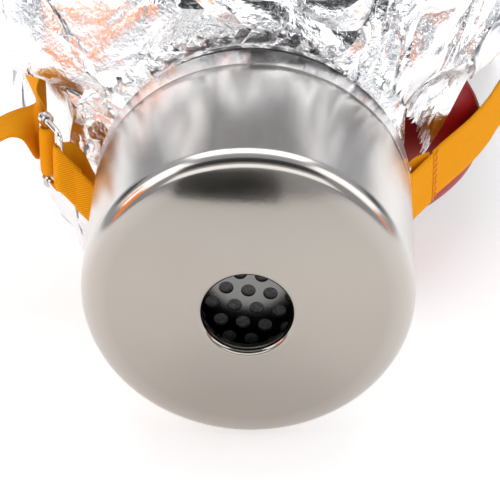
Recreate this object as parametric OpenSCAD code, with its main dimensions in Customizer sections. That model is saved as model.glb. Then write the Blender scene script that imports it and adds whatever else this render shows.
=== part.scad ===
// Filtering smoke hood: a steel filter canister lying on its wall, a foil hood that
// stands behind it on its neck hem, a rubber half mask inside and a webbing head strap.
// Millimetres, +Z up. Origin: centre of the neck opening, in the plane the hood stands on.
// The canister's inlet faces -Y.

/* [Canister] */
// Outer diameter of the canister
can_d = 105; // [95:1:115]
// Sheet thickness of the canister's steel
can_wall = 0.8; // [0.6:0.1:1.2]
// Radius of the domed face
crown_r = 150; // [120:5:220]
// Radius of the rounded corner between face and wall
knuckle_r = 6; // [4:0.5:9]
// From the top of the dome to the crimped joint with the rear cover
shell_len = 66; // [64:1:72]
// Width of the rear cover's band
band_w = 10.5; // [8:0.5:12]
// Diameter of the air inlet
inlet_d = 28; // [24:1:34]
// Hole diameter in the perforated discs
perf_d = 4.6; // [3:0.2:5]
// Hole spacing in the perforated discs
perf_pitch = 7; // [6.5:0.25:9]
// Rings of holes around the middle hole
perf_rings = 4; // [2:1:5]

/* [Mask] */
// Half width of the mask's face lip
lip_rx = 66; // [60:1:67]
// Half height of the mask's face lip
lip_rz = 45; // [42:1:45]
// How far the soft mask hangs to the right of the canister's axis
mask_shift = 14; // [8:1:15]

/* [Hood] */
// Half width of the neck opening
neck_rx = 95; // [90:1:100]
// Half depth of the neck opening
neck_ry = 111; // [108:1:116]
// Height of the crown above the neck hem
crown_z = 300; // [280:5:320]
// Thickness of the foil with its backing
foil_t = 1.5; // [1:0.1:2]
// How high the neck hem is lifted beside the canister
hem_lift = 80; // [60:5:90]
// Height of the folded neck hem
hem_h = 14; // [10:1:16]
// Half width of the clear window
visor_rx = 62; // [50:1:66]
// Lower edge of the clear window
visor_z0 = 142; // [138:1:150]
// Height of the clear window
visor_h = 72; // [60:1:76]

/* [Straps and buckle] */
// Width of the webbing
web_w = 20; // [18:0.5:21]
// Thickness of the webbing
web_t = 1.2; // [1:0.1:1.3]
// Diameter of the buckle's frame wire
wire_d = 2.2; // [2:0.1:2.4]
// Distance between the buckle's two end bars
buckle_len = 16; // [15.5:0.5:18]
// Distance between the buckle's two rails
buckle_rails = 23.6; // [23.6:0.2:26]

/* [Hidden] */
$fn = 96;

// ---- canister stack, measured along its axis from the top of the dome
can_r = can_d / 2;
inlet_r = inlet_d / 2;
can_front_y = -215.5;
head_angle = asin((can_r - knuckle_r) / (crown_r - knuckle_r));
head_h = crown_r - (crown_r - knuckle_r) * cos(head_angle);
inner_r = can_r - can_wall;
fit_gap = 0.2;
neck_r = 47;
cover_s = shell_len + 0.3;
band_end_s = cover_s + band_w - 0.3;
neck_end_s = band_end_s + 13.5;
spigot_s = shell_len - 4.4;
grille_t = 1;
grille_s = head_h + 0.6;
felt_s = grille_s + grille_t + fit_gap;
felt_t = 4;
filter_s = felt_s + felt_t + fit_gap;
filter_t = 6;
catalyst_s = filter_s + filter_t + fit_gap;
catalyst_t = 15.5;
screen_s = catalyst_s + catalyst_t + fit_gap;
screen_t = 0.8;
carbon_s = screen_s + screen_t + fit_gap;
carbon_t = 12;
outlet_felt_s = carbon_s + carbon_t + fit_gap;
outlet_felt_t = 2;
outlet_grille_s = outlet_felt_s + outlet_felt_t + fit_gap;
spring_s = outlet_grille_s + grille_t + fit_gap;
spring_t = spigot_s - spring_s - fit_gap;

// ---- outlet port, valve and mask neck
port_r = 19.2;
port_bore_r = 17.2;
port_len = 12;
seat_s = neck_end_s + 4;
seat_t = 1.2;
flap_t = 0.8;
flap_lift = 1.5;
stud_r = 1.2;
mask_neck_r = port_r + 0.3;
mask_t = 2;
exhale_z = 17.5;
exhale_r = 9.4;
exhale_bore_r = 7.4;
exhale_y = -117;
exhale_len = 9;
cover_out = 4.4;
cover_len = 5.9;

// ---- buckle: local x runs along the strap from the outer bar to the anchor bar,
// local y points towards the hood, local z is up
buckle_at = [-72, -122, 58.2];
buckle_turn = -61.8;
wire_r = wire_d / 2;
bar_r = 1;
bar_rest = 4.6;
bar_half = 9.7;
eye_r = 2.4;
eye_bore_r = 1.4;
eye_w = 2;
turn_w = 18;
turn_in_r = 1.4;
corner_r = 2.5;
anchor_bar = [51.4, -135.9];
anchor_bar_r = 1.1;
anchor_bar_half = 11.2;
left_bar_z = 40;
right_bar_z = 48;
loop_in_r = 1.35;

// ---- hood outline
collar_r = 59.6;
skirt_z = 16;
groove = 3.4;
split_z = visor_z0 + visor_h / 2;
seam_half_w = 6;
seam_t = 0.8;
theta_steps = 30;
row_steps = 20;

// Smooth step from 0 to 1
function ease(u) = let (c = min(max(u, 0), 1)) c * c * (3 - 2 * c);
// Signed power, for the rounded-rectangle outline
function spow(v, p) = sign(v) * pow(abs(v), p);
// Half width, half depth front and back, of the hood at height z
function hood_a(z) = let (u = (z - skirt_z) / (crown_z - skirt_z))
  z < skirt_z ? neck_rx : 45 + (neck_rx - 45) * sqrt(max(0, 1 - pow(u, 4)))
    + 18 * pow(sin(180 * min(u, 1)), 2);
function hood_b(z, back) = let (u = (z - skirt_z) / (crown_z - skirt_z))
  z < skirt_z ? neck_ry : 1.7 + (neck_ry - 1.7) * pow(max(0, 1 - pow(u, back ? 3 : 2.6)), 0.6)
    + (back ? 8 : 14) * pow(sin(180 * pow(min(u, 1), 0.6)), 2);
function outline_n(z) = 3 - 0.9 * z / crown_z;
// How far the foil is pulled in under the strap at the front left
function pull(theta, z) = let (t = theta < 0 ? theta + 360 : theta)
  groove * ease((t - 182) / 16) * (1 - ease((t - 238) / 16)) * ease((z - 12) / 36) * (1 - ease((z - 68) / 16));
// A point of the hood: theta -90 is the front, 0 the right side, 90 the back
function hood_pt(theta, z, clear) = let (
    off = clear - pull(theta, z),
    b = hood_b(z, theta > 0 && theta < 180), p = 2 / outline_n(z),
    top = pow(max(0, z / crown_z), 8))
  [(hood_a(z) + off) * spow(cos(theta), p), max(b + off, 0.15) * spow(sin(theta), p), z + off * top];
// Height of the neck hem: on the ground, but lifted at the front right
function hem_z(theta) = let (t = theta > 180 ? theta - 360 : theta)
  hem_lift * ease((t + 80) / 14) * (1 - ease((t + 35) / 60));

function range(n) = [for (i = [0 : n - 1]) i];
function mix(a, b, u) = a * (1 - u) + b * u;

// Closed solid between an outer and an inner grid of points, both rows x cols
module slab(outer, inner) {
  rows = len(outer);
  cols = len(outer[0]);
  n = rows * cols;
  pts = concat([for (r = outer) each r], [for (r = inner) each r]);
  quads = concat(
    [for (i = [0 : rows - 2], j = [0 : cols - 2])
      [i * cols + j, i * cols + j + 1, (i + 1) * cols + j + 1, (i + 1) * cols + j]],
    [for (i = [0 : rows - 2], j = [0 : cols - 2])
      [n + (i + 1) * cols + j, n + (i + 1) * cols + j + 1, n + i * cols + j + 1, n + i * cols + j]],
    [for (j = [0 : cols - 2]) [n + j, n + j + 1, j + 1, j]],
    [for (j = [0 : cols - 2]) let (k = (rows - 1) * cols) [k + j, k + j + 1, n + k + j + 1, n + k + j]],
    [for (i = [0 : rows - 2]) [i * cols, (i + 1) * cols, n + (i + 1) * cols, n + i * cols]],
    [for (i = [0 : rows - 2]) let (k = cols - 1)
      [n + i * cols + k, n + (i + 1) * cols + k, (i + 1) * cols + k, i * cols + k]]);
  tris = [for (q = quads) each [[q[0], q[1], q[2]], [q[0], q[2], q[3]]]];
  polyhedron(pts, tris, convexity = 6);
}

// Shell patch of the hood from theta t0 to t1, from its lower to its upper edge
module hood_patch(t0, t1, low, high, off_in, off_out, cols, rows, lift_low = 0, lift_high = 0) {
  function z_at(t, u) = mix(low + lift_low * hem_z(t), high + lift_high * hem_z(t), u);
  function grid(off) = [for (i = range(rows + 1)) [for (j = range(cols + 1))
    let (t = mix(t0, t1, j / cols)) hood_pt(t, z_at(t, i / rows), off)]];
  slab(grid(off_in), grid(off_out));
}

// Flat band of thickness t and width w swept through points p, with its width along v
module ribbon(p, v, w, t) {
  n = len(p);
  function dir(i) = let (d = p[min(i + 1, n - 1)] - p[max(i - 1, 0)]) d / norm(d);
  function side(i) = v[i] / norm(v[i]);
  function nor(i) = let (c = cross(dir(i), side(i))) c / norm(c);
  up = [for (i = range(n)) [p[i] - side(i) * w / 2 + nor(i) * t / 2, p[i] + side(i) * w / 2 + nor(i) * t / 2]];
  dn = [for (i = range(n)) [p[i] - side(i) * w / 2 - nor(i) * t / 2, p[i] + side(i) * w / 2 - nor(i) * t / 2]];
  slab(up, dn);
}

// Outline of a strip of thickness t along a flat path
function strip(p, t) = let (n = len(p),
    d = [for (i = range(n)) let (s = p[min(i + 1, n - 1)] - p[max(i - 1, 0)]) s / norm(s)])
  concat([for (i = range(n)) p[i] + [-d[i][1], d[i][0]] * t / 2],
    [for (i = [n - 1 : -1 : 0]) p[i] - [-d[i][1], d[i][0]] * t / 2]);
// Points on an arc about c
function arc(c, r, a0, a1, n) = [for (i = range(n + 1)) let (a = mix(a0, a1, i / n)) c + r * [cos(a), sin(a)]];

// Puts a shape drawn along +Z onto the canister's axis, distance s from the top of the dome
module on_axis(s = 0) translate([0, can_front_y + s, can_r]) rotate([-90, 0, 0]) children();
module ring(r_in, r_out, h) difference() {
  cylinder(r = r_out, h = h);
  translate([0, 0, -1]) cylinder(r = r_in, h = h + 2);
}
module perforated(r, t, rings, turn) linear_extrude(t) difference() {
  circle(r);
  rotate(turn) for (i = [-rings : rings], j = [-rings : rings])
    if (abs(i + j) <= rings) translate(perf_pitch * [i + j / 2, j * sqrt(3) / 2]) circle(d = perf_d, $fn = 24);
}
module in_buckle() translate(buckle_at) rotate(buckle_turn) children();

// ---- canister
// Deep-drawn cup: domed face with the inlet, rounded corner and wall
module canister_shell() color("gainsboro") on_axis() rotate_extrude() {
  lip_s = crown_r - sqrt(crown_r * crown_r - (inlet_r + can_wall) * (inlet_r + can_wall));
  c_r = can_r - knuckle_r;
  outer = concat(
    [[inlet_r + 0.5, lip_s + 0.1]],
    [for (i = range(13)) let (a = mix(asin((inlet_r + 1.6) / crown_r), head_angle, i / 12))
      [crown_r * sin(a), crown_r * (1 - cos(a))]],
    [for (i = [1 : 8]) let (a = mix(head_angle, 90, i / 8))
      [c_r + knuckle_r * sin(a), head_h - knuckle_r * cos(a)]],
    [[can_r, shell_len]]);
  inner = concat([[inner_r, shell_len]],
    [for (i = [8 : -1 : 1]) let (a = mix(head_angle, 90, i / 8))
      [c_r + (knuckle_r - can_wall) * sin(a), head_h - (knuckle_r - can_wall) * cos(a)]],
    [for (i = [12 : -1 : 0]) let (a = mix(asin((inlet_r + 2.4) / crown_r), head_angle, i / 12))
      [(crown_r - can_wall) * sin(a), crown_r - (crown_r - can_wall) * cos(a)]],
    [[inlet_r + can_wall, lip_s + 1.6], [inlet_r + can_wall, lip_s + 4.4], [inlet_r, lip_s + 4.4], [inlet_r, lip_s + 0.5]]);
  polygon(concat(outer, inner));
}

// Rear cover: spigot, band, shoulder, grooved neck for the hood, end plate with the outlet
module canister_rear_cover() color("gainsboro") difference() {
  on_axis() rotate_extrude() polygon([
    [can_r - 1.7, spigot_s], [inner_r - 0.15, spigot_s], [inner_r - 0.15, cover_s], [can_r, cover_s],
    [can_r, band_end_s - 1.2], [can_r - 1.2, band_end_s], [neck_r, band_end_s],
    [neck_r, neck_end_s - 1.6], [neck_r + 1.2, neck_end_s - 1.2], [neck_r + 1.2, neck_end_s],
    [port_r + 0.1, neck_end_s], [port_r + 0.1, neck_end_s - can_wall],
    [neck_r - can_wall, neck_end_s - can_wall], [neck_r - can_wall, band_end_s - can_wall],
    [can_r - 1.7, band_end_s - can_wall]]);
  // locating notch in the rim
  translate([0, can_front_y + cover_s, can_d - 0.2]) cube([1.6, 1.6, 1.6], center = true);
}

module inlet_grille() color("silver") on_axis(grille_s) perforated(inner_r - 0.3, grille_t, perf_rings, 8);
module prefilter_felt() color("dimgray") on_axis(felt_s) cylinder(r = inner_r - 0.3, h = felt_t);
module particulate_filter() color("ivory") on_axis(filter_s) cylinder(r = inner_r - 0.3, h = filter_t);
module catalyst_bed() color("saddlebrown") on_axis(catalyst_s) cylinder(r = inner_r - 0.3, h = catalyst_t);
module bed_screen() color("silver") on_axis(screen_s) cylinder(r = inner_r - 0.3, h = screen_t);
module carbon_bed() color("black") on_axis(carbon_s) cylinder(r = inner_r - 0.3, h = carbon_t);
module outlet_felt() color("whitesmoke") on_axis(outlet_felt_s) cylinder(r = inner_r - 0.3, h = outlet_felt_t);
module outlet_grille() color("silver") on_axis(outlet_grille_s) perforated(inner_r - 0.3, grille_t, 2, 8);
module wave_spring() color("gray") on_axis(spring_s) ring(inner_r - 5, inner_r - 0.3, spring_t);

// ---- outlet port and inhale valve
// Flanged tube fixed in the cover's end plate
module outlet_port() color("darkgray") {
  on_axis(neck_end_s - can_wall) ring(port_bore_r, port_r, port_len + can_wall);
  on_axis(neck_end_s - can_wall - 1.2 - fit_gap) ring(port_bore_r, port_r + 4, 1.2 + fit_gap);
}
module port_gasket() color("black") on_axis(neck_end_s + 0.1) ring(port_r + 0.3, port_r + 5, 1.2);
module inhale_valve_seat() color("white") on_axis(seat_s) linear_extrude(seat_t) {
  difference() { circle(port_bore_r - 0.1); circle(port_bore_r - 3.2); }
  difference() {
    union() {
      circle(3.4);
      for (k = [0 : 2]) rotate(90 + 120 * k) translate([0, -0.9]) square([port_bore_r - 2, 1.8]);
    }
    circle(stud_r + 0.1);
  }
}
module inhale_flap() color("darkred") on_axis(seat_s + seat_t + 0.1) ring(stud_r + 0.3, port_bore_r - 1.4, flap_t);
module inhale_valve_stud() color("silver") {
  on_axis(seat_s - 1) cylinder(r = stud_r, h = seat_t + flap_t + flap_lift + 1.6);
  on_axis(seat_s - 1) cylinder(r = 2.4, h = 0.9);
  on_axis(seat_s + seat_t + flap_t + flap_lift + 0.4) cylinder(r = 2.4, h = 0.8);
}
module mask_clamp_ring() color("silver") on_axis(neck_end_s + 3.6) ring(mask_neck_r + mask_t + 0.2, mask_neck_r + mask_t + 1.2, 5);

// ---- half mask: neck, flared cup and rolled face lip; u is 0 at the neck and 1 at the lip
module half_mask() color("firebrick") difference() {
  mask_body();
  translate([0, exhale_y - 5, exhale_z]) rotate([-90, 0, 0]) cylinder(r = exhale_r + 0.3, h = 40);
}
function mask_section(u, in, y) = [
  mix(mask_neck_r + mask_t, lip_rx, u) - in, mix(mask_neck_r + mask_t, lip_rz, u) - in, y, u];
mask_y = can_front_y + neck_end_s;
mask_profile = [
  mask_section(0, 0, mask_y + 1.8), mask_section(0, 0, mask_y + 9), mask_section(0.25, 0, mask_y + 11.5),
  mask_section(0.6, 0, mask_y + 19), mask_section(0.88, 0, mask_y + 28), mask_section(1, 0, mask_y + 36),
  mask_section(0.98, 0, mask_y + 42), mask_section(0.9, 0, mask_y + 45), mask_section(0.8, 0, mask_y + 45.5),
  mask_section(0.8, 1, mask_y + 43.5), mask_section(0.9, 1, mask_y + 43), mask_section(0.98, mask_t, mask_y + 41),
  mask_section(1, mask_t, mask_y + 36), mask_section(0.88, mask_t, mask_y + 29),
  mask_section(0.6, mask_t, mask_y + 20.6), mask_section(0.25, mask_t, mask_y + 13.6),
  mask_section(0, mask_t, mask_y + 11), mask_section(0, mask_t, mask_y + 1.8)];
mask_lift = -6.5;
module mask_body() {
  steps = 48;
  n = len(mask_profile);
  pts = [for (s = mask_profile, k = range(steps)) let (a = 360 * k / steps)
    [mask_shift * s[3] + s[0] * cos(a), s[2], can_r + mask_lift * s[3] + s[1] * sin(a)]];
  faces = [for (i = range(n), k = range(steps)) let (i2 = (i + 1) % n, k2 = (k + 1) % steps)
    each [[i * steps + k, i * steps + k2, i2 * steps + k2], [i * steps + k, i2 * steps + k2, i2 * steps + k]]];
  polyhedron(pts, faces, convexity = 6);
}
module exhale_axis(y) translate([0, y, exhale_z]) rotate([-90, 0, 0]) children();
module exhale_valve_seat() color("white") {
  exhale_axis(exhale_y) ring(exhale_bore_r, exhale_r, exhale_len);
  exhale_axis(exhale_y) linear_extrude(1) intersection() {
    circle(exhale_bore_r + 0.5);
    union() { square([1.4, 20], center = true); square([20, 1.4], center = true); }
  }
}
module exhale_flap() color("darkred") exhale_axis(exhale_y - 0.1 - flap_t) cylinder(r = exhale_r - 0.6, h = flap_t);
module exhale_valve_cover() color("dimgray") {
  difference() {
    exhale_axis(exhale_y - cover_out) ring(exhale_r + 0.1, exhale_r + 1, cover_len);
    exhale_axis(exhale_y - 3) rotate([0, 90, 0]) cylinder(r = 0.9, h = 40, center = true);
  }
  exhale_axis(exhale_y - cover_out - 0.8) perforated(exhale_r + 1, 0.9, 1, 0);
}

// ---- webbing, buckle and anchor
// Thin ring behind the band with a round bar at each side for the webbing
module strap_anchor_plate() color("silver") {
  on_axis(anchor_bar[1] - can_front_y - 0.6) ring(neck_r + 0.2, neck_r + 1.3, 1.2);
  for (m = [-1, 1]) {
    bar_z = m < 0 ? left_bar_z : right_bar_z;
    translate([m * anchor_bar[0], anchor_bar[1], bar_z - anchor_bar_half]) cylinder(r = anchor_bar_r, h = 2 * anchor_bar_half);
    for (k = [-1, 1]) {
      strut_z = bar_z + k * (anchor_bar_half - 0.5);
      ring_x = sqrt(pow(neck_r + 0.8, 2) - pow(strut_z - can_r, 2));
      translate([m * (anchor_bar[0] + ring_x) / 2, anchor_bar[1], strut_z])
        cube([anchor_bar[0] - ring_x, 1.2, 1.6], center = true);
    }
  }
}
// Bent wire rectangle
module slider_frame() color("silver") in_buckle() {
  half = buckle_rails / 2;
  for (x = [0, buckle_len]) translate([x, 0, -half + corner_r]) cylinder(r = wire_r, h = buckle_rails - 2 * corner_r);
  for (k = [-1, 1]) {
    translate([corner_r, 0, k * half]) rotate([0, 90, 0]) cylinder(r = wire_r, h = buckle_len - 2 * corner_r);
    for (e = [0, 1]) translate([e == 0 ? corner_r : buckle_len - corner_r, 0, k * (half - corner_r)])
      rotate([90, 0, 0]) rotate(e == 0 ? (k > 0 ? 90 : 180) : (k > 0 ? 0 : 270))
        rotate_extrude(angle = 90) translate([corner_r, 0]) circle(wire_r, $fn = 24);
  }
}
// Sliding bar whose curled ends ride on the frame's rails
module slider_bar() color("silver") in_buckle() translate([bar_rest, 0, 0]) {
  translate([0, 0, -bar_half]) cylinder(r = bar_r, h = 2 * bar_half);
  for (k = [-1, 1]) translate([-eye_w / 2, 0, k * buckle_rails / 2]) rotate([0, 90, 0]) ring(eye_bore_r, eye_r, eye_w);
}
// Webbing's turn round the sliding bar
turn_mid_r = turn_in_r + web_t / 2;
module strap_turn() color("orange") in_buckle() mirror([0, 1, 0]) translate([0, 0, -turn_w / 2]) linear_extrude(turn_w)
  polygon(strip(concat([[-1.6, -3.7], [1.4, -3.4], [3.2, -turn_mid_r - 0.2]],
    arc([bar_rest, 0], turn_mid_r, -90, 110, 10), [[2.75, 0.9], [2.25, -0.6], [1, -1.85], [-1.6, -2.05]]), web_t));
// A bar's webbing: half a turn from angle a0 to a1 about c, rising from height z0 to z1
function turn_round(c, z0, z1, a0, a1) = [for (i = range(9)) let (p = arc(c, loop_in_r + web_t / 2, a0, a1, 8)[i])
  [p[0], p[1], mix(z0, z1, i / 8)]];
// Loop of webbing round the canister's left bar and the buckle's anchor bar, open in the middle
anchor_far = buckle_at + buckle_len * [cos(buckle_turn), sin(buckle_turn), 0];
anchor_points = concat(
  [[-58.4, -137.6, 49.2]],
  turn_round([-anchor_bar[0], anchor_bar[1]], left_bar_z + 1, left_bar_z + 1, -85, 70),
  [[-54, -131.5, 44.5], [-57, -130.2, 49], [-60.6, -131.2, 53.5]],
  turn_round([anchor_far[0], anchor_far[1]], buckle_at[2] - 0.6, buckle_at[2] - 0.8, 60, 258),
  [[-59.1, -137.7, 50.3]]);
module anchor_strap() color("orange") ribbon(anchor_points, [for (p = anchor_points) [0, 0, 1]], turn_w - 1, web_t);
// Loop sewn at the strap's other end
loop_seam = [59.4, -124.6, 48.6];
loop_turn = 58;
loop_gap = 0.75 * [-sin(loop_turn), cos(loop_turn), 0];
loop_points = concat(
  [loop_seam - loop_gap, [55, -133.2, right_bar_z]],
  turn_round(anchor_bar, right_bar_z, right_bar_z, -22, -222),
  [[53.4, -130.2, right_bar_z + 1.5], loop_seam + loop_gap]);
module strap_loop() color("orange") ribbon(loop_points, [for (p = loop_points) [0, 0, 1]], web_w - 0.6, web_t);

// Head strap from the sewn loop round the back of the hood to the buckle
side_z = 76;
strap_off = 4.8;
function beside_hood(theta, z) = hood_pt(theta, z, strap_off);
function from_buckle(x, y, z) = buckle_at + [x * cos(buckle_turn) - y * sin(buckle_turn),
  x * sin(buckle_turn) + y * cos(buckle_turn), z];
// The strap passes under the raised hem at the right and runs straight from the left side to the buckle
strap_points = concat(
  [loop_seam + [0.9, 1.4, 0.1], [63.2, -118.6, 49], [67.9, -112, 49.6], [74.4, -101.6, 50], [80.4, -91.4, 51.6], [85.8, -80.6, 54],
    hood_pt(-24, 57, 3.6), hood_pt(-18, 61, 4.6), beside_hood(-12, 66), beside_hood(0, 72), beside_hood(12, 75)],
  [for (t = [24 : 12 : 144]) beside_hood(t, side_z)],
  [for (t = [156 : 12 : 180]) beside_hood(t, mix(side_z, buckle_at[2], (t - 144) / 48))],
  [hood_pt(188, 61.5, 4.4), hood_pt(196, 60, 3.8), hood_pt(206, 59, 3.6), hood_pt(215, 58.5, 3.6), hood_pt(221, 58.3, 3.6),
    [-75.4, -101, buckle_at[2]]],
  [from_buckle(-9, 4.6, 0), from_buckle(-5, 3.9, 0), from_buckle(-2.2, 3.7, 0)]);
module head_strap() color("orange") ribbon(strap_points, [for (p = strap_points) [0, 0, 1]], web_w - 0.8, web_t);

// Loose end of the strap: it leaves the buckle upright, turns flat and hangs down to the left
module strap_tail() color("orange") ribbon(
  [from_buckle(-2.2, 2.05, 0), from_buckle(-4.4, 1.6, 0.6), [-73.9, -117.2, 59.8], [-75.4, -117, 61.4],
    [-77.6, -117.2, 63.2], [-81.3, -118, 63.8], [-86.3, -120, 62.4], [-91, -121.5, 59.6], [-97, -123.5, 53.5], [-101, -125.5, 45]],
  concat([[0, 0, 1], [0, 0.1, 0.99], [0, 0.25, 0.97], [0, 0.85, 0.53], [0, 1, 0.15]], [for (i = range(5)) [0, 1, 0]]),
  web_w - 1, web_t);

// Foil loops sewn to the hood, which the head strap runs through
module strap_keepers() color("lightgray") for (t = [36, 72, 108, 144]) {
  p = beside_hood(t, side_z);
  d = beside_hood(t + 3, side_z) - beside_hood(t - 3, side_z);
  translate(p) rotate(atan2(d[1], d[0])) difference() {
    cube([10, 4.8, web_w + 6], center = true);
    cube([12, 3.4, web_w + 3], center = true);
  }
}

// ---- hood
module above_ground() intersection() {
  children();
  translate([-150, -250, 0.3]) cube([300, 500, 400]);
}
// Sleeve from the canister's neck out to the front of the hood,
// cut away at the lower right, where the hem is lifted
module hood_collar() color("whitesmoke") above_ground() difference() {
  s0 = anchor_bar[1] - can_front_y + 3;
  on_axis() rotate_extrude() polygon(strip([
    [neck_r + 0.8, s0], [neck_r + 0.8, s0 + 4.4], [neck_r + 2.4, s0 + 5.8], [neck_r + 2.4, neck_end_s],
    [collar_r - 3, neck_end_s + 4], [collar_r - 0.6, neck_end_s + 7], [collar_r - 0.6, neck_end_s + 14]], 1.2));
  translate([neck_r + 3.5, can_front_y + neck_end_s - 1, -1]) cube([20, 20, can_r + 24]);
}
module collar_clamp() color("silver") on_axis(anchor_bar[1] - can_front_y + 3.2) ring(neck_r + 1.5, neck_r + 2.3, 3.6);

module visor_cut(w, h) translate([0, -50, split_z]) rotate([90, 0, 0]) linear_extrude(120) square([w, h], center = true);
module hood_front_panel() color("whitesmoke") difference() {
  hood_patch(-179, -1, 0, split_z, -foil_t, 0, theta_steps, row_steps / 2, lift_low = 1);
  translate([0, -60, can_r]) rotate([90, 0, 0]) cylinder(r = collar_r + 0.3, h = 100);
  visor_cut(2 * visor_rx, visor_h);
}
// The front's upper half, from the middle of the window to the crown
module hood_brow_panel() color("whitesmoke") difference() {
  hood_patch(-179, -1, split_z + fit_gap, crown_z, -foil_t, 0, theta_steps, row_steps / 2);
  visor_cut(2 * visor_rx, visor_h);
}
module hood_back_panel() color("gainsboro")
  hood_patch(1, 179, 0, crown_z, -foil_t, 0, theta_steps, row_steps, lift_low = 1);

// Tape over the seam where the two panels meet, up one side, over the crown and down the other
seam_z = [for (i = range(row_steps + 1)) mix(hem_h + 1, crown_z - 5, i / row_steps)];
function seam_edge(m, z, off) = [m * (hood_a(z) + off), 0, z + off * pow(z / crown_z, 8)];
function seam_path(off) = concat(
  [for (z = seam_z) if (z > hem_z(0) + hem_h + 1) seam_edge(1, z, off)],
  [for (i = range(9)) [mix(1, -1, i / 8) * hood_a(crown_z) * 0.96, 0, crown_z + off]],
  [for (i = [row_steps : -1 : 0]) seam_edge(-1, seam_z[i], off)]);
function seam_sides(off) = [for (p = seam_path(off)) [p - [0, seam_half_w, 0], p + [0, seam_half_w, 0]]];
module hood_side_seam() color("lightgray") slab(seam_sides(0.9), seam_sides(0.9 + seam_t));

module visor_window() color("white", 0.4) hood_patch(-131, -49, visor_z0 - 6, visor_z0 + visor_h + 6, 0.3, 0.9, 20, 10);
module visor_border() color("silver") difference() {
  hood_patch(-133, -47, visor_z0 - 10, visor_z0 + visor_h + 10, 1.1, 1.8, 20, 12);
  visor_cut(2 * visor_rx + 4, visor_h - 2);
}

// Folded hem on the ground: left side, back and the rear of the right side
module neck_hem_resting() color("white") difference() {
  hem_angles = [for (t = [30 : 4 : 250]) t];
  linear_extrude(hem_h) polygon(concat(
    [for (t = hem_angles) let (p = hood_pt(t, 0, 2)) [p[0], p[1]]],
    [for (i = [len(hem_angles) - 1 : -1 : 0]) let (p = hood_pt(hem_angles[i], 0, 0.3)) [p[0], p[1]]]));
  translate([0, -60, can_r]) rotate([90, 0, 0]) cylinder(r = collar_r + 0.3, h = 100);
}
// The same hem where it is lifted clear of the mask
module neck_hem_raised() color("white") difference() {
  hood_patch(-52, 26, 0, hem_h, 0.6, 1.9, 30, 2, lift_low = 1, lift_high = 1);
  translate([0, -60, can_r]) rotate([90, 0, 0]) cylinder(r = collar_r + 0.3, h = 100);
}

canister_shell();
canister_rear_cover();
inlet_grille();
prefilter_felt();
particulate_filter();
catalyst_bed();
bed_screen();
carbon_bed();
outlet_felt();
outlet_grille();
wave_spring();
outlet_port();
port_gasket();
inhale_valve_seat();
inhale_flap();
inhale_valve_stud();
mask_clamp_ring();
half_mask();
exhale_valve_seat();
exhale_flap();
exhale_valve_cover();
strap_anchor_plate();
slider_frame();
slider_bar();
anchor_strap();
strap_turn();
strap_tail();
head_strap();
strap_loop();
strap_keepers();
hood_collar();
collar_clamp();
hood_front_panel();
hood_brow_panel();
hood_back_panel();
hood_side_seam();
visor_window();
visor_border();
neck_hem_resting();
neck_hem_raised();
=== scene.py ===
# %% [markdown]
# # A filtering smoke hood
# A smoke hood is worn to walk out through smoke: a steel filter canister, a half mask behind it and a
# loose hood of aluminised foil cloth, held on by a webbing strap. The metal parts come exact from the
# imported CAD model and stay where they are. Everything soft is made here, round those parts, in the same
# frame: metres, +Z up, the canister's inlet towards -Y.

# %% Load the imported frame
import math

import bmesh
import bpy
import numpy as np
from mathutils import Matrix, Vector


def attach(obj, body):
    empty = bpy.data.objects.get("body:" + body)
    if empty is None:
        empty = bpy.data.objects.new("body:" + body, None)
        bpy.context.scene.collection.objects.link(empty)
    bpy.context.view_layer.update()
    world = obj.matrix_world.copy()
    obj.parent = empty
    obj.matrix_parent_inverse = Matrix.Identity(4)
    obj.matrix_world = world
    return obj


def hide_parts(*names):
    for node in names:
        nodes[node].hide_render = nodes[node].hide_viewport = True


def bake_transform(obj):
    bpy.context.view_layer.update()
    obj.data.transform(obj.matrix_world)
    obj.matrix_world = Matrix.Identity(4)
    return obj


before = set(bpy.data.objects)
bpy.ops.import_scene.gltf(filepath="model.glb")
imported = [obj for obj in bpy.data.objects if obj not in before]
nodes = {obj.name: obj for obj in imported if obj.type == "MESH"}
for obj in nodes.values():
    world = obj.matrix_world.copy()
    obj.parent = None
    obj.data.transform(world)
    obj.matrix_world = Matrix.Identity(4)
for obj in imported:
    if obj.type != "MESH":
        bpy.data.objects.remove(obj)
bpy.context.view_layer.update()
MM = 0.001
CAN_FACE = np.array([0.0, -215.5, 52.5])  # top of the canister's dome, in mm
CAN_R = 52.5

# %% [markdown]
# ## Camera, floor and light
# The hood is seen from a little above with a long lens, so the camera sits 0.8 m away and looks down by
# about a third of a right angle. Polished steel and foil show nothing but what stands around them, so the
# light is made of cards: big pale softboxes for the bright parts, dark cards for the dark lines and small
# orange cards that add to the straps' own reflections. The cards don't show, only their reflections do.

# %% Camera
camera_data = bpy.data.cameras.new("camera")
camera_data.sensor_width = 36.0
camera_data.lens = 184.3
camera = bpy.data.objects.new("camera", camera_data)
camera.location = (0.0182, -0.8679, 0.4977)
aim_point = Vector((0.0006, -0.2040, 0.0694))
camera.rotation_euler = (aim_point - camera.location).to_track_quat("-Z", "Y").to_euler()
bpy.context.scene.collection.objects.link(camera)
bpy.context.scene.camera = camera
bpy.context.scene.view_settings.view_transform = "Standard"
print("camera looks down by", round(math.degrees(math.pi / 2 - camera.rotation_euler.x), 1), "degrees")


# %% Helpers for node materials
def new_material(name):
    material = bpy.data.materials.new(name)
    material.use_nodes = True
    tree = material.node_tree
    tree.nodes.clear()
    return material, tree


def add(tree, kind, links=None, **values):
    """A node of that kind: links maps its inputs to output sockets, values sets settings or inputs."""
    node = tree.nodes.new(kind)
    for key, value in values.items():
        if hasattr(node, key):
            setattr(node, key, value)
        else:
            node.inputs[key.replace("_", " ")].default_value = value
    for key, socket in (links or {}).items():
        tree.links.new(socket, node.inputs[key])
    return node


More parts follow.
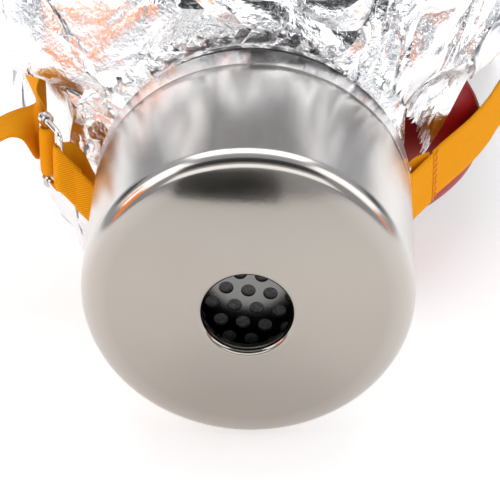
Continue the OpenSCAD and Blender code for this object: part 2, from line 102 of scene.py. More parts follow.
def ramp(tree, factor, stops):
    node = tree.nodes.new("ShaderNodeValToRGB")
    tree.links.new(factor, node.inputs["Fac"])
    elements = node.color_ramp.elements
    while len(elements) < len(stops):
        elements.new(0.5)
    for element, (place, colour) in zip(elements, stops):
        element.position = place
        element.color = (*colour, 1) if len(colour) == 3 else (colour[0], colour[0], colour[0], 1)
    return node


def finish_material(tree, shader):
    out = tree.nodes.new("ShaderNodeOutputMaterial")
    tree.links.new(shader.outputs[0], out.inputs["Surface"])


# %% Floor and world
def mesh_object(name, points, faces):
    """A mesh object from points in mm and lists of corner numbers."""
    mesh = bpy.data.meshes.new(name)
    mesh.from_pydata([tuple(p) for p in np.asarray(points, float) * MM], [], [tuple(f) for f in faces])
    mesh.validate()
    mesh.shade_smooth()
    obj = bpy.data.objects.new(name, mesh)
    bpy.context.scene.collection.objects.link(obj)
    return obj


floor = mesh_object("floor", [(-9000, -9000, 0), (9000, -9000, 0), (9000, 9000, 0), (-9000, 9000, 0)],
                    [(0, 1, 2, 3)])
floor_paint, tree = new_material("floor paint")
floor_tone = add(tree, "ShaderNodeTexNoise", Scale=3.0)
floor_colour = ramp(tree, floor_tone.outputs["Fac"], [(0.3, (0.90,)), (0.7, (0.92,))])
finish_material(tree, add(tree, "ShaderNodeBsdfPrincipled", {"Base Color": floor_colour.outputs[0]},
                          Roughness=0.7, Emission_Color=(1.0, 1.0, 1.0, 1), Emission_Strength=0.42))
floor.data.materials.append(floor_paint)

world = bpy.data.worlds.new("studio")
world.use_nodes = True
bpy.context.scene.world = world
world.node_tree.nodes["Background"].inputs["Color"].default_value = (0.93, 0.95, 1.0, 1)
world.node_tree.nodes["Background"].inputs["Strength"].default_value = 0.50


# %% Softboxes and cards
def card(name, azimuth, elevation, distance, width, height, strength, paint=None):
    """A flat card facing the canister. Strength above 0 is a softbox, 0 is a plain card."""
    a, e = math.radians(azimuth), math.radians(elevation)
    away = Vector((math.sin(a) * math.cos(e), -math.cos(a) * math.cos(e), math.sin(e)))
    centre = Vector((0, -0.2, 0.07)) + away * distance
    if strength > 0:
        data = bpy.data.lights.new(name, "AREA")
        data.shape = "RECTANGLE"
        data.size, data.size_y = width, height
        data.energy = strength
        obj = bpy.data.objects.new(name, data)
    else:
        w, h = width * 500, height * 500
        obj = mesh_object(name, [(-w, -h, 0), (w, -h, 0), (w, h, 0), (-w, h, 0)], [(0, 1, 2, 3)])
        obj.data.materials.append(paint or card_black)
        obj.visible_camera = False
    obj.location = centre
    obj.rotation_euler = away.to_track_quat("Z", "Y").to_euler()
    if obj.name not in bpy.context.scene.collection.objects:
        bpy.context.scene.collection.objects.link(obj)
    return obj


card_black, tree = new_material("dark card")
card_tone = add(tree, "ShaderNodeTexNoise", Scale=2.0)
card_colour = ramp(tree, card_tone.outputs["Fac"], [(0.3, (0.012,)), (0.7, (0.03,))])
finish_material(tree, add(tree, "ShaderNodeBsdfPrincipled", {"Base Color": card_colour.outputs[0]},
                          Roughness=0.9))
card_orange, tree = new_material("orange card")
orange_tone = add(tree, "ShaderNodeTexNoise", Scale=2.0)
orange_colour = ramp(tree, orange_tone.outputs["Fac"], [(0.3, (0.9, 0.20, 0.01)), (0.7, (1.0, 0.26, 0.02))])
finish_material(tree, add(tree, "ShaderNodeBsdfPrincipled", {"Base Color": orange_colour.outputs[0]},
                          Roughness=0.8, Emission_Color=(1.0, 0.22, 0.01, 1), Emission_Strength=0.7))

card("overhead softbox", 180, 62, 1.6, 1.8, 1.1, 13)
card("front softbox", 0, 22, 2.2, 2.6, 0.75, 9)
card("left softbox", -75, 35, 1.8, 1.2, 1.4, 9)
card("right softbox", 80, 35, 1.8, 1.0, 1.4, 7)
card("dark behind the camera", -6.5, 3.6, 2.4, 1.15, 0.46, 0)
card("dark above the camera", 0, 56, 1.5, 2.2, 0.7, 0)
card("dark left", -120, 16, 2.0, 0.8, 0.5, 0)
card("dark right", 118, 14, 2.0, 0.9, 0.45, 0)
card("orange left", -62, 14, 0.42, 0.10, 0.16, 0, card_orange)
card("orange low left", -84, 22, 0.36, 0.05, 0.10, 0, card_orange)
card("orange right", 74, 8, 0.36, 0.05, 0.08, 0, card_orange)

# %% [markdown]
# ## Finishes
# Every finish is a node material, so it holds at any distance. Steel is a metal with a soft satin grain
# and faint cloudy wear. Foil cloth is nearly a mirror: its look comes from the crumpled surface, so the
# shader only adds the finest wrinkles. Webbing is dyed twill with slanting ribs, and rubber is matt.


# %% Metal finishes
def metal(name, colour, rough_low, rough_high, grain=0.02, grain_scale=900.0, cloud_scale=30.0,
          stretch=(1, 1, 1), wave=0.0, wall=0.0):
    """wall adds roughness behind the dome. There the base colour is also mixed to a paler tone: painted light
    that brightens the wall's reflection, though the wall is the same steel as the dome.
    """
    material, tree = new_material(name)
    place = add(tree, "ShaderNodeTexCoord")
    mapped = add(tree, "ShaderNodeMapping", {"Vector": place.outputs["Object"]})
    mapped.inputs["Scale"].default_value = stretch
    cloud = add(tree, "ShaderNodeTexNoise", {"Vector": place.outputs["Object"]}, Scale=cloud_scale,
                Detail=5.0)
    fine = add(tree, "ShaderNodeTexNoise", {"Vector": mapped.outputs["Vector"]}, Scale=grain_scale,
               Detail=2.0)
    rough = ramp(tree, cloud.outputs["Fac"], [(0.35, (rough_low,)), (0.68, (rough_high,))])
    rough_out = rough.outputs[0]
    if wall:
        split = add(tree, "ShaderNodeSeparateXYZ", {"Vector": place.outputs["Object"]})
        behind = add(tree, "ShaderNodeMapRange", {"Value": split.outputs["Y"]})
        for key, value in (("From Min", -0.209), ("From Max", -0.203), ("To Min", 0.0), ("To Max", 1.0)):
            behind.inputs[key].default_value = value
        total = add(tree, "ShaderNodeMath", {0: behind.outputs[0], 2: rough_out}, operation="MULTIPLY_ADD")
        total.inputs[1].default_value = wall
        rough_out = total.outputs[0]
    dim = [c * 0.95 for c in colour]
    tone = ramp(tree, cloud.outputs["Fac"], [(0.3, tuple(dim)), (0.7, tuple(colour))])
    # Painted light: behind the dome the base colour turns paler, so the wall reflects brighter than the dome.
    if wall:
        tone = add(tree, "ShaderNodeMixRGB", {"Fac": behind.outputs[0], "Color1": tone.outputs[0]})
        tone.inputs["Color2"].default_value = (0.64, 0.615, 0.59, 1)
    bump = add(tree, "ShaderNodeBump", {"Height": fine.outputs["Fac"]}, Strength=grain, Distance=0.0002)
    normal = bump
    if wave:
        swell = add(tree, "ShaderNodeTexNoise", {"Vector": place.outputs["Object"]}, Scale=22.0, Detail=1.0)
        normal = add(tree, "ShaderNodeBump",
                     {"Height": swell.outputs["Fac"], "Normal": bump.outputs["Normal"]},
                     Strength=wave, Distance=0.002)
    finish_material(tree, add(tree, "ShaderNodeBsdfPrincipled", {
        "Base Color": tone.outputs[0], "Roughness": rough_out, "Normal": normal.outputs["Normal"]},
        Metallic=1.0))
    return material


# Painted light: one steel, given a darker base colour on the dome and a paler one on the wall.
steel = metal("satin stainless", (0.405, 0.372, 0.332), 0.10, 0.16, grain=0.03, grain_scale=700.0,
              cloud_scale=26.0, stretch=(1, 0.06, 1), wave=0.02, wall=0.10)
cover_steel = metal("stainless cover", (0.90, 0.885, 0.87), 0.16, 0.26, grain=0.03, cloud_scale=40.0)
# Painted shade: the perforated steel gets a dark base colour for the shadow down inside the inlet.
shade_darkened_perforated_steel = metal("perforated steel", (0.20, 0.20, 0.195), 0.16, 0.26, grain=0.06)
spring_steel = metal("spring steel", (0.55, 0.55, 0.56), 0.25, 0.35)
wire_steel = metal("bright wire", (0.90, 0.88, 0.87), 0.16, 0.26, grain=0.04)


# %% Soft and dull finishes
def matt(name, dark, light, rough, scale=400.0, bump=0.2, distance=0.0003, kind="ShaderNodeTexNoise"):
    material, tree = new_material(name)
    place = add(tree, "ShaderNodeTexCoord")
    pattern = add(tree, kind, {"Vector": place.outputs["Object"]}, Scale=scale)
    factor = pattern.outputs["Fac"] if "Fac" in pattern.outputs else pattern.outputs[0]
    tone = ramp(tree, factor, [(0.3, dark), (0.7, light)])
    relief = add(tree, "ShaderNodeBump", {"Height": factor}, Strength=bump, Distance=distance)
    finish_material(tree, add(tree, "ShaderNodeBsdfPrincipled", {
        "Base Color": tone.outputs[0], "Normal": relief.outputs["Normal"]}, Roughness=rough))
    return material


carbon_felt = matt("carbon felt", (0.050, 0.050, 0.052), (0.13, 0.13, 0.135), 0.9, 900.0, 0.6)
filter_paper = matt("filter paper", (0.72, 0.68, 0.58), (0.82, 0.79, 0.70), 0.85, 500.0)
catalyst_grain = matt("catalyst grains", (0.07, 0.04, 0.025), (0.20, 0.13, 0.09), 0.8, 500.0, 0.8, 0.001,
                      "ShaderNodeTexVoronoi")
carbon_grain = matt("carbon grains", (0.006, 0.006, 0.006), (0.04, 0.04, 0.042), 0.7, 600.0, 0.8, 0.001,
                    "ShaderNodeTexVoronoi")
white_felt = matt("white felt", (0.70, 0.70, 0.68), (0.85, 0.85, 0.83), 0.9, 900.0, 0.6)
black_rubber = matt("black rubber", (0.012, 0.012, 0.012), (0.03, 0.03, 0.03), 0.55)
valve_plastic = matt("valve plastic", (0.68, 0.69, 0.70), (0.78, 0.79, 0.80), 0.35, 200.0, 0.05)
red_rubber = matt("red rubber", (0.30, 0.003, 0.006), (0.42, 0.006, 0.010), 0.42, 160.0, 0.08, 0.0004)


# %% Webbing
def webbing_material():
    """Twill webbing: its ribs slant across the band, and each rib is a row of small stitches."""
    material, tree = new_material("orange webbing")
    place = add(tree, "ShaderNodeUVMap", uv_map="band")
    turned = add(tree, "ShaderNodeMapping", {"Vector": place.outputs["UV"]})
    turned.inputs["Rotation"].default_value = (0, 0, math.radians(47))
    ribs = add(tree, "ShaderNodeTexWave", {"Vector": turned.outputs["Vector"]}, Scale=520.0, Distortion=0.5)
    ribs.bands_direction = "X"
    grain = add(tree, "ShaderNodeTexWave", {"Vector": turned.outputs["Vector"]}, Scale=900.0, Distortion=0.6)
    grain.bands_direction = "Y"
    both = add(tree, "ShaderNodeMath", {0: ribs.outputs["Fac"]}, operation="MULTIPLY_ADD")
    both.inputs[1].default_value = 0.75
    half = add(tree, "ShaderNodeMath", {0: grain.outputs["Fac"]}, operation="MULTIPLY")
    half.inputs[1].default_value = 0.25
    tree.links.new(half.outputs[0], both.inputs[2])
    shade = add(tree, "ShaderNodeTexNoise", Scale=60.0)
    tone = ramp(tree, both.outputs[0], [(0.12, (0.86, 0.22, 0.001)), (0.55, (1.0, 0.41, 0.004)),
                                        (0.9, (1.0, 0.52, 0.012))])
    mottled = add(tree, "ShaderNodeMixRGB", {"Fac": shade.outputs["Fac"], "Color1": tone.outputs[0]},
                  blend_type="MULTIPLY")
    mottled.inputs["Color2"].default_value = (0.95, 0.92, 0.86, 1)
    relief = add(tree, "ShaderNodeBump", {"Height": both.outputs[0]}, Strength=0.6, Distance=0.0003)
    finish_material(tree, add(tree, "ShaderNodeBsdfPrincipled", {
        "Base Color": mottled.outputs[0], "Normal": relief.outputs["Normal"]}, Roughness=0.85,
        Specular_IOR_Level=0.12))
    return material


webbing = webbing_material()
stitch_thread = matt("orange thread", (0.75, 0.22, 0.004), (1.0, 0.42, 0.02), 0.6, 2500.0)
dark_thread = matt("dark thread", (0.10, 0.09, 0.09), (0.30, 0.28, 0.27), 0.6, 2500.0)


# %% Foil cloth
def foil_material(name, colour=(0.87, 0.875, 0.885), rough=(0.11, 0.24), fine=0.4, metallic=1.0):
    material, tree = new_material(name)
    place = add(tree, "ShaderNodeTexCoord")
    patch = add(tree, "ShaderNodeTexNoise", {"Vector": place.outputs["Object"]}, Scale=45.0, Detail=3.0)
    rough_map = ramp(tree, patch.outputs["Fac"], [(0.35, (rough[0],)), (0.65, (rough[1],))])
    creases = add(tree, "ShaderNodeTexVoronoi", {"Vector": place.outputs["Object"]}, Scale=420.0,
                  feature="F1", distance="CHEBYCHEV")
    wrinkles = add(tree, "ShaderNodeTexNoise", {"Vector": place.outputs["Object"]}, Scale=500.0, Detail=4.0,
                   Distortion=1.2)
    small = add(tree, "ShaderNodeBump", {"Height": creases.outputs["Distance"]}, Strength=0.35 * fine,
                Distance=0.0010)
    bump = add(tree, "ShaderNodeBump", {"Height": wrinkles.outputs["Fac"], "Normal": small.outputs["Normal"]},
               Strength=0.55 * fine, Distance=0.0009)
    dim = tuple(c * 0.9 for c in colour)
    tone = ramp(tree, patch.outputs["Fac"], [(0.3, dim), (0.6, colour)])
    finish_material(tree, add(tree, "ShaderNodeBsdfPrincipled", {
        "Base Color": tone.outputs[0], "Roughness": rough_map.outputs[0], "Normal": bump.outputs["Normal"]},
        Metallic=metallic))
    return material


foil = foil_material("aluminised foil cloth")
foil_trim = foil_material("foil trim", (0.92, 0.92, 0.93), (0.24, 0.38), 0.25)


# %% Clear window film
def film_material():
    material, tree = new_material("clear window film")
    place = add(tree, "ShaderNodeTexCoord")
    swell = add(tree, "ShaderNodeTexNoise", {"Vector": place.outputs["Object"]}, Scale=60.0)
    tone = ramp(tree, swell.outputs["Fac"], [(0.3, (0.93, 0.95, 0.96)), (0.7, (0.98, 0.99, 1.0))])
    relief = add(tree, "ShaderNodeBump", {"Height": swell.outputs["Fac"]}, Strength=0.25, Distance=0.002)
    finish_material(tree, add(tree, "ShaderNodeBsdfPrincipled", {
        "Base Color": tone.outputs[0], "Normal": relief.outputs["Normal"]}, Roughness=0.04, IOR=1.4,
        Transmission_Weight=1.0))
    return material


window_film = film_material()

# %% [markdown]
# ## Metal and inner pieces that keep their CAD shape
# Turned, punched and bent parts are exact already, so they only get their finish. Each node's mesh stays
# as packed.

# %% Give the kept nodes their finishes
KEPT = {
    cover_steel: ["canister_rear_cover", "outlet_port", "mask_clamp_ring", "collar_clamp"],
    shade_darkened_perforated_steel: ["inlet_grille", "bed_screen", "outlet_grille"],
    spring_steel: ["wave_spring", "inhale_valve_stud"],
    wire_steel: ["strap_anchor_plate", "slider_frame", "slider_bar"],
    carbon_felt: ["prefilter_felt"],
    filter_paper: ["particulate_filter"],
    catalyst_grain: ["catalyst_bed"],
    carbon_grain: ["carbon_bed"],
    white_felt: ["outlet_felt"],
    black_rubber: ["port_gasket"],
    valve_plastic: ["inhale_valve_seat", "exhale_valve_seat", "exhale_valve_cover"],
    red_rubber: ["inhale_flap", "exhale_flap"],
}
for finish, names in KEPT.items():
    for name in names:
        data = nodes[name].data
        data.materials.clear()
        data.materials.append(finish)
print(sum(len(v) for v in KEPT.values()), "CAD nodes keep their shape")

# %% [markdown]
# ## Canister shell
# The shell is a deep-drawn cup: a domed face with a rolled-in inlet, a tight rounded corner and a straight
# wall. Reflections in a dome show every flat, so instead of the CAD triangles the same profile is turned
# again with many more points round it.


# %% Turn the canister shell
def turned(name, profile, around=256):
    """Turns (radius, distance from the dome) points round the canister's axis."""
    profile = np.array(profile, float)
    count = len(profile)
    turn = np.linspace(0, 2 * math.pi, around, endpoint=False)
    points = [(r * math.cos(t), CAN_FACE[1] + s, CAN_FACE[2] + r * math.sin(t))
              for t in turn for r, s in profile]
    faces = [(j * count + i, j * count + (i + 1) % count, ((j + 1) % around) * count + (i + 1) % count,
              ((j + 1) % around) * count + i) for j in range(around) for i in range(count)]
    return mesh_object(name, points, faces)


def arc(centre, radius, start, end, steps):
    """Points on an arc in the profile plane; angles in degrees, 0 points to the dome's top."""
    angles = np.radians(np.linspace(start, end, steps))
    return [(centre[0] + radius * math.sin(a), centre[1] - radius * math.cos(a)) for a in angles]


CROWN_R, KNUCKLE_R, WALL, SHELL_LEN, INLET_R = 150.0, 6.0, 0.8, 66.0, 14.0
head_angle = math.degrees(math.asin((CAN_R - KNUCKLE_R) / (CROWN_R - KNUCKLE_R)))
corner = (CAN_R - KNUCKLE_R, CROWN_R - (CROWN_R - KNUCKLE_R) * math.cos(math.radians(head_angle)))
lip_s = CROWN_R - math.sqrt(CROWN_R ** 2 - (INLET_R + WALL) ** 2)
lip_angle = math.degrees(math.asin((INLET_R + 2.2) / CROWN_R))
outside = arc((0, CROWN_R), CROWN_R, lip_angle, head_angle, 26)
outside += arc(corner, KNUCKLE_R, head_angle, 90, 20)[1:]
outside += [(CAN_R, s) for s in np.linspace(corner[1] + 1, SHELL_LEN - 0.6, 14)]
outside += [(CAN_R - 0.1, SHELL_LEN - 0.25), (CAN_R - 0.4, SHELL_LEN)]
inside = [(CAN_R - WALL, SHELL_LEN), (CAN_R - WALL, 40)] + arc(corner, KNUCKLE_R - WALL, 90, head_angle, 12)
inside += arc((0, CROWN_R), CROWN_R - WALL, head_angle, lip_angle + 0.2, 12)[1:]
inside += [(INLET_R + WALL, lip_s + 1.8), (INLET_R + WALL, lip_s + 4.4)]
inside += [(INLET_R, lip_s + 4.4), (INLET_R, lip_s + 1.8)]
inside += arc((INLET_R + 1.9, lip_s + 1.85), 1.9, -90, -8, 9)[1:]
shell = turned("canister_shell_drawn", outside + inside)
shell.data.materials.append(steel)
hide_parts("canister_shell")
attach(shell, "root")
print("canister shell", len(shell.data.polygons), "faces, dome", round(corner[1], 1), "mm deep")

# %% [markdown]
# ## The hood's form
# The hood is a tall pillow: almost a rounded box at the neck, closing to a seam at the crown. The cloth is
# drawn in towards the groove behind the canister. One function gives any point of it, so panels, hem, tape,
# keepers and strap all sit on the same form.


# %% Hood form
NECK_RX, NECK_RY, CROWN_Z, SKIRT_Z = 95.0, 111.0, 300.0, 16.0
HEM_LIFT = 80.0


def ease(u):
    c = np.clip(u, 0, 1)
    return c * c * (3 - 2 * c)


def spow(v, p):
    return np.sign(v) * np.abs(v) ** p


def half_width(z):
    u = np.clip((z - SKIRT_Z) / (CROWN_Z - SKIRT_Z), 0, 1)
    return 45 + (NECK_RX - 45) * np.sqrt(1 - u ** 4) + 18 * np.sin(math.pi * u) ** 2


def half_depth(z, back):
    u = np.clip((z - SKIRT_Z) / (CROWN_Z - SKIRT_Z), 0, 1)
    rise = np.where(back, 3.0, 2.6)
    swell = np.where(back, 8.0, 14.0)
    return 1.7 + (NECK_RY - 1.7) * (1 - u ** rise) ** 0.6 + swell * np.sin(math.pi * u ** 0.6) ** 2


def strap_groove(wrapped, z):
    """How far the strap presses the cloth in at the left; the cloth above hangs over it."""
    front = ease((wrapped - 178) / 24) * (1 - ease((wrapped - 238) / 16))
    side = ease((wrapped - 150) / 30) * (1 - ease((wrapped - 205) / 30))
    low = (9.0 * front + 3.0 * side) * (1 - ease((z - 68) / 10))
    over = 8.0 * ease((wrapped - 176) / 20) * (1 - ease((wrapped - 236) / 16))
    return low - over * ease((z - 71) / 7) * (1 - ease((z - 88) / 50))


def hood_point(theta, z, off=0.0):
    """Theta in degrees: -90 front, 0 right, 90 back."""
    theta, z = np.asarray(theta, float), np.asarray(z, float)
    wrapped = np.mod(theta, 360)
    off = off - strap_groove(wrapped, z)
    back = (wrapped > 0) & (wrapped < 180)
    p = 2 / (3 - 0.9 * z / CROWN_Z)
    top = np.clip(z / CROWN_Z, 0, None) ** 8
    a = np.radians(theta)
    x = (half_width(z) + off) * spow(np.cos(a), p)
    y = np.maximum(half_depth(z, back) + off, 0.15) * spow(np.sin(a), p)
    return np.stack([x, y, z + off * top], -1)


def hem_z(theta):
    t = np.mod(np.asarray(theta, float), 360)
    t = np.where(t > 180, t - 360, t)
    rise = 50 * ease((t + 80) / 14) + (HEM_LIFT - 50) * ease((t + 62) / 14)
    return rise * (1 - ease((t + 35) / 60))


def pull_in(points):
    """Draws the front of the hood in towards the groove behind the canister's band."""
    p = np.array(points, float)
    dx, dz = p[..., 0], p[..., 2] - CAN_FACE[2]
    r = np.hypot(dx, dz)
    side = np.abs(dx) / np.maximum(r, 1e-6)
    target = -134.0 + 9.0 * side ** 4 + 0.10 * (r - 56)
    beside = ease((-dx - 58) / 10) * (1 - ease((p[..., 2] - 70) / 14))
    beside = beside + ease((dx - 52) / 8) * (1 - ease((p[..., 2] - 74) / 12))
    share = (1 - ease((r - 54) / 44)) * (p[..., 1] < 0) * (1 - np.clip(beside, 0, 1))
    p[..., 1] = p[..., 1] * (1 - share) + np.minimum(p[..., 1], target) * share
    return p


# %% [markdown]
# ## Crumpled foil
# Foil that has been folded small keeps every crease: flat facets of all sizes meeting in sharp edges. So
# the panel starts as a net of big triangles with uneven corners lifted off the form, and each triangle is
# cut into four, again and again, with every new corner pushed out or in by a smaller amount. The creases
# then lie along mesh edges, which keeps them sharp. A plain displacement texture would round them off.


# %% Facet maker
def crumpled(name, form, across, along, cell, levels, rough, seed, keep=None, calm=None, sharp=22):
    """form(u, v) gives points in mm for u, v in 0..1. across and along are the sheet's size in mm."""
    rng = np.random.default_rng(seed)
    nu, nv = max(2, round(across / cell)), max(2, round(along / cell))
    gu, gv = np.meshgrid(np.arange(nu + 1), np.arange(nv + 1), indexing="ij")
    u, v = gu.astype(float), gv.astype(float)
    inner_u, inner_v = (gu > 0) & (gu < nu), (gv > 0) & (gv < nv)
    u += np.where(inner_u, rng.uniform(-0.30, 0.30, u.shape), 0)
    v += np.where(inner_v, rng.uniform(-0.30, 0.30, v.shape), 0)
    uv = np.stack([u.ravel() / nu, v.ravel() / nv], -1)
    height = spow(rng.normal(0, 1, len(uv)), 1.25) * cell * rough
    height *= (inner_u & inner_v).ravel()
    number = np.arange(len(uv)).reshape(nu + 1, nv + 1)
    a, b, c, d = number[:-1, :-1], number[1:, :-1], number[1:, 1:], number[:-1, 1:]
    flip = rng.random(a.shape) < 0.5
    first = np.where(flip[..., None], np.stack([a, b, c], -1), np.stack([a, b, d], -1)).reshape(-1, 3)
    second = np.where(flip[..., None], np.stack([a, c, d], -1), np.stack([b, c, d], -1)).reshape(-1, 3)
    tris = np.concatenate([first, second])
    size = cell
    for level in range(levels):
        edges = np.sort(np.concatenate([tris[:, [0, 1]], tris[:, [1, 2]], tris[:, [2, 0]]]), axis=1)
        unique, where, uses = np.unique(edges, axis=0, return_inverse=True, return_counts=True)
        where = where.ravel()
        inner = uses > 1
        middle = (uv[unique[:, 0]] + uv[unique[:, 1]]) / 2
        jog = rng.uniform(-0.16, 0.16, middle.shape) * size / np.array([across, along])
        middle += jog * inner[:, None]
        lift = (height[unique[:, 0]] + height[unique[:, 1]]) / 2
        push = spow(rng.normal(0, 1, len(unique)), 1.5) * size * 0.5 * rough * (0.75 ** level)
        lift += push * inner
        start = len(uv)
        uv, height = np.concatenate([uv, middle]), np.concatenate([height, lift])
        m = where.reshape(3, -1).T + start
        tris = np.concatenate([
            np.stack([tris[:, 0], m[:, 0], m[:, 2]], -1), np.stack([m[:, 0], tris[:, 1], m[:, 1]], -1),
            np.stack([m[:, 2], m[:, 1], tris[:, 2]], -1), m])
        size /= 2
    step = 0.004
    base = form(uv[:, 0], uv[:, 1])
    lo_u, hi_u = np.clip(uv[:, 0] - step, 0, 1), np.clip(uv[:, 0] + step, 0, 1)
    lo_v, hi_v = np.clip(uv[:, 1] - step, 0, 1), np.clip(uv[:, 1] + step, 0, 1)
    du = form(hi_u, uv[:, 1]) - form(lo_u, uv[:, 1])
    dv = form(uv[:, 0], hi_v) - form(uv[:, 0], lo_v)
    normal = np.cross(du, dv)
    normal /= np.maximum(np.linalg.norm(normal, axis=1, keepdims=True), 1e-9)
    if calm is not None:
        height = height * calm(base)
    points = base + normal * height[:, None]
    if keep is not None:
        middle = base[tris].mean(1)
        tris = tris[keep(middle)]
    used = np.unique(tris)
    again = np.full(len(points), -1)
    again[used] = np.arange(len(used))
    obj = mesh_object(name, points[used], again[tris])
    obj.data.set_sharp_from_angle(angle=math.radians(sharp))
    return obj


def thicken(obj, mm):
    solid = obj.modifiers.new("cloth thickness", "SOLIDIFY")
    solid.thickness = mm * MM
    solid.offset = 0
    solid.use_rim = True


# %% Measure cloth
def cloth_area(obj):
    """Area of a single-sided mesh in square metres."""
    mesh = obj.data
    return sum(p.area for p in mesh.polygons)


# %% [markdown]
# ## Front and back panels
# Two panels of foil cloth are sewn together down the sides. The front one has a hole for the canister and
# one for the window. Each point of a panel is named by how far round it lies and how far up.


# %% Panel forms
TABLE_T = np.linspace(0, 1, 121)
TABLE_V = np.linspace(0, 1, 91)


def panel_form(theta_from, theta_to, drawn):
    """An even net over half of the hood: u runs round it by length, v from hem to crown."""
    grid = np.zeros((len(TABLE_T), len(TABLE_V), 3))
    fine = np.linspace(theta_from, theta_to, 721)
    for j, v in enumerate(TABLE_V):
        low = hem_z(fine)
        row = hood_point(fine, low * (1 - v) + CROWN_Z * v)
        length = np.concatenate([[0], np.cumsum(np.linalg.norm(np.diff(row, axis=0), axis=1))])
        for k in range(3):
            grid[:, j, k] = np.interp(TABLE_T * length[-1], length, row[:, k])
    if drawn:
        grid = pull_in(grid)

    def form(u, v):
        fu = np.clip(u, 0, 1) * (len(TABLE_T) - 1)
        fv = np.clip(v, 0, 1) * (len(TABLE_V) - 1)
        i, j = np.minimum(fu.astype(int), len(TABLE_T) - 2), np.minimum(fv.astype(int), len(TABLE_V) - 2)
        a, b = (fu - i)[:, None], (fv - j)[:, None]
        return ((grid[i, j] * (1 - a) + grid[i + 1, j] * a) * (1 - b)
                + (grid[i, j + 1] * (1 - a) + grid[i + 1, j + 1] * a) * b)
    return form


front_form = panel_form(-179, -1, True)
back_form = panel_form(1, 179, False)


def can_radius(points):
    return np.hypot(points[..., 0], points[..., 2] - CAN_FACE[2])


VISOR_RX, VISOR_Z0, VISOR_H = 62.0, 142.0, 72.0


def front_keep(p):
    window = (np.abs(p[:, 0]) < VISOR_RX) & (p[:, 2] > VISOR_Z0) & (p[:, 2] < VISOR_Z0 + VISOR_H)
    return (can_radius(p) > 57) & ~window


def front_calm(p):
    near_strap = np.exp(-((p[:, 2] - 76) / 16) ** 2) * (np.abs(p[:, 0]) > 78)
    left_low = (p[:, 0] < -60) & (p[:, 1] < 20) & (p[:, 2] < 74)
    near_strap = np.maximum(near_strap, 1.0 * left_low)  # the skirt below the buckle lies smooth
    at_hem = ease((p[:, 2] - hem_z(np.degrees(np.arctan2(p[:, 1], p[:, 0])))) / 20)
    window = np.exp(-np.clip(np.maximum(np.abs(p[:, 0]) - VISOR_RX, np.abs(p[:, 2] - 178) - 36), 0, 99) / 8)
    return (1 - 0.85 * near_strap) * (0.25 + 0.75 * at_hem) * (1 - 0.8 * window * (p[:, 2] > 120))


front_panel = crumpled("hood_front_foil", front_form, 330, 300, 24, 4, 0.075, 7, front_keep, front_calm)
front_panel.data.materials.append(foil)
back_panel = crumpled("hood_back_foil", back_form, 330, 300, 28, 3, 0.065, 11, None, front_calm)
back_panel.data.materials.append(foil)
for piece, panels in ((front_panel, ("hood_front_panel", "hood_brow_panel")),
                      (back_panel, ("hood_back_panel",))):
    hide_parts(*panels)
    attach(piece, "root")
    print(piece.name, len(piece.data.polygons), "facets,", round(cloth_area(piece), 4), "m2")

# %% [markdown]
# ## Collar
# The cloth runs in behind the band and is clamped in the groove of the canister's neck, so it lies in
# small radial pleats there. The collar is a ring-shaped sheet with the same facets, pleated more tightly
# towards the groove.


# %% Collar sheet
def collar_form(u, v):
    phi = 2 * math.pi * u
    reach = np.where(np.sin(phi) < 0, np.minimum(63.0, 51.6 / np.maximum(-np.sin(phi), 1e-3)), 63.0)
    open_side = (np.cos(phi) > 0.3) & (np.sin(phi) < 0.5)
    reach = np.where(open_side, np.minimum(reach, 50.4 / np.maximum(np.cos(phi), 1e-3)), reach)
    r = 48.6 + np.maximum(reach - 48.6, 1.4) * v
    pleat = np.sin(phi * 46 + 1.3 * np.sin(phi * 7)) * 0.55 * np.sin(math.pi * np.clip(v * 1.1, 0, 1))
    s = 84.6 + 1.5 * v + 8.0 * v * np.abs(np.cos(phi)) ** 4 + pleat
    return np.stack([r * np.cos(phi), CAN_FACE[1] + s, CAN_FACE[2] + r * np.sin(phi)], -1)


collar = crumpled("hood_collar_foil", collar_form, 350, 15, 7, 2, 0.06, 5)
collar.data.materials.append(foil)
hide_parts("hood_collar")
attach(collar, "root")
print(collar.name, round(cloth_area(collar), 4), "m2")


# %% [markdown]
# ## Hem, seam tape, window border and keepers
# Smaller pieces of the same cloth, folded double and sewn on: strips that follow the hood's form. A strip
# is a net of points in rows, closed with a thin wall, and pulled slightly out of true so it looks sewn by
# hand and not machined.


# %% Strips that follow the hood
def strip(name, rows, thickness, seed=0, wobble=0.35, subdivide=1):
    """rows: list of rows of points in mm, all the same length."""
    rng = np.random.default_rng(seed)
    grid = np.array(rows, float)
    n, m = grid.shape[:2]
    normal = np.cross(np.gradient(grid, axis=1), np.gradient(grid, axis=0))
    normal /= np.maximum(np.linalg.norm(normal, axis=2, keepdims=True), 1e-9)
    grid = grid + normal * rng.normal(0, wobble, (n, m, 1))
    faces = [(i * m + j, i * m + j + 1, (i + 1) * m + j + 1, (i + 1) * m + j)
             for i in range(n - 1) for j in range(m - 1)]
    obj = mesh_object(name, grid.reshape(-1, 3), faces)
    if subdivide:
        sub = obj.modifiers.new("round off", "SUBSURF")
        sub.levels = sub.render_levels = subdivide
    thicken(obj, thickness)
    return obj


def hem_rows(angles, low, high, off, count=6):
    rows = []
    for k in range(count):
        z = low + (high - low) * k / (count - 1)
        bulge = off + 0.9 * math.sin(math.pi * k / (count - 1))
        rows.append(pull_in(hood_point(angles, hem_z(angles) + z, bulge)))
    return rows


